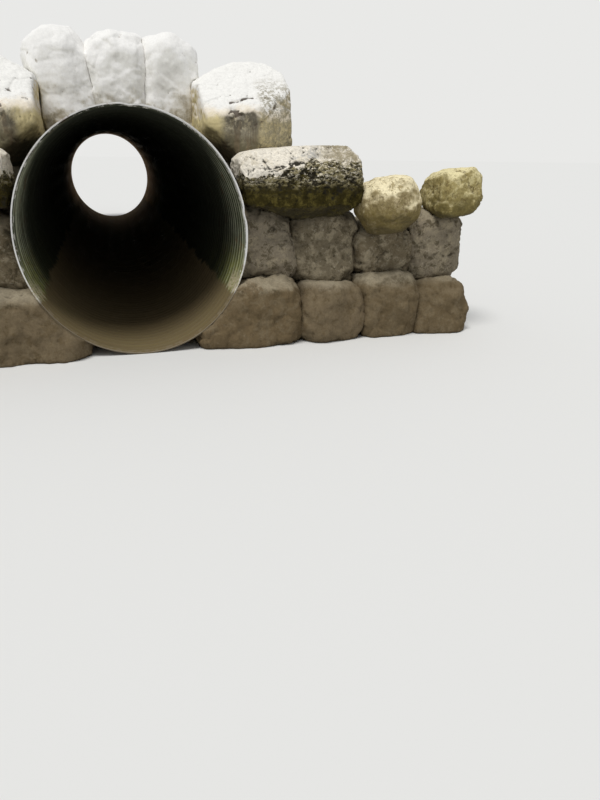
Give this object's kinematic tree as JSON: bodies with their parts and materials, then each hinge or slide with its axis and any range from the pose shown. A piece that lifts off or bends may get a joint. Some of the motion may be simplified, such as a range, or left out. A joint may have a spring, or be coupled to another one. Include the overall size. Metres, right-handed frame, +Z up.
{
  "type": "corrugated steel culvert with boulder headwall",
  "caption": "Oval corrugated steel culvert pipe with a dry-laid boulder headwall beside and above its mouth.",
  "frame": {"origin": "lowest outside point of the pipe's rim at the mouth, on the level that the wall stands on", "axes": "+Z up, +Y along the pipe from the mouth to the far end, +X to the right seen from the mouth"},
  "size_m": [8.3406, 15.5129, 3.4652],
  "materials": {
    "galvanised_steel": "satin",
    "band_steel": "satin",
    "pale_stone": "matte",
    "grey_stone": "matte",
    "tan_stone": "matte",
    "brown_stone": "matte"
  },
  "bodies": {
    "root": {"backing_left_lower": "tan_stone", "backing_left_upper": "tan_stone", "backing_right_lower": "tan_stone", "backing_right_upper": "tan_stone", "band_1_lug_left": "band_steel", "band_1_lug_right": "band_steel", "band_2_lug_left": "band_steel", "band_2_lug_right": "band_steel", "block_stone_left": "pale_stone", "block_stone_right": "pale_stone", "coupling_band_1": "band_steel", "coupling_band_2": "band_steel", "course_left_1": "brown_stone", "course_left_2": "brown_stone", "course_left_3": "brown_stone", "course_left_4": "brown_stone", "course_right_1": "brown_stone", "course_right_2": "brown_stone", "course_right_3": "brown_stone", "course_right_4": "brown_stone", "crest_stone_left": "pale_stone", "crest_stone_right": "pale_stone", "end_stone_left": "brown_stone", "end_stone_right": "brown_stone", "footing_left_1": "brown_stone", "footing_left_2": "brown_stone", "footing_left_3": "brown_stone", "footing_left_4": "brown_stone", "footing_right_1": "brown_stone", "footing_right_2": "brown_stone", "footing_right_3": "brown_stone", "footing_right_4": "brown_stone", "key_stone": "pale_stone", "ledge_stone_left": "grey_stone", "ledge_stone_right": "grey_stone", "pipe_length_1": "galvanised_steel", "pipe_length_2": "galvanised_steel", "pipe_length_3": "galvanised_steel", "round_stone_left": "tan_stone", "round_stone_right": "tan_stone"}
  },
  "joints": []
}
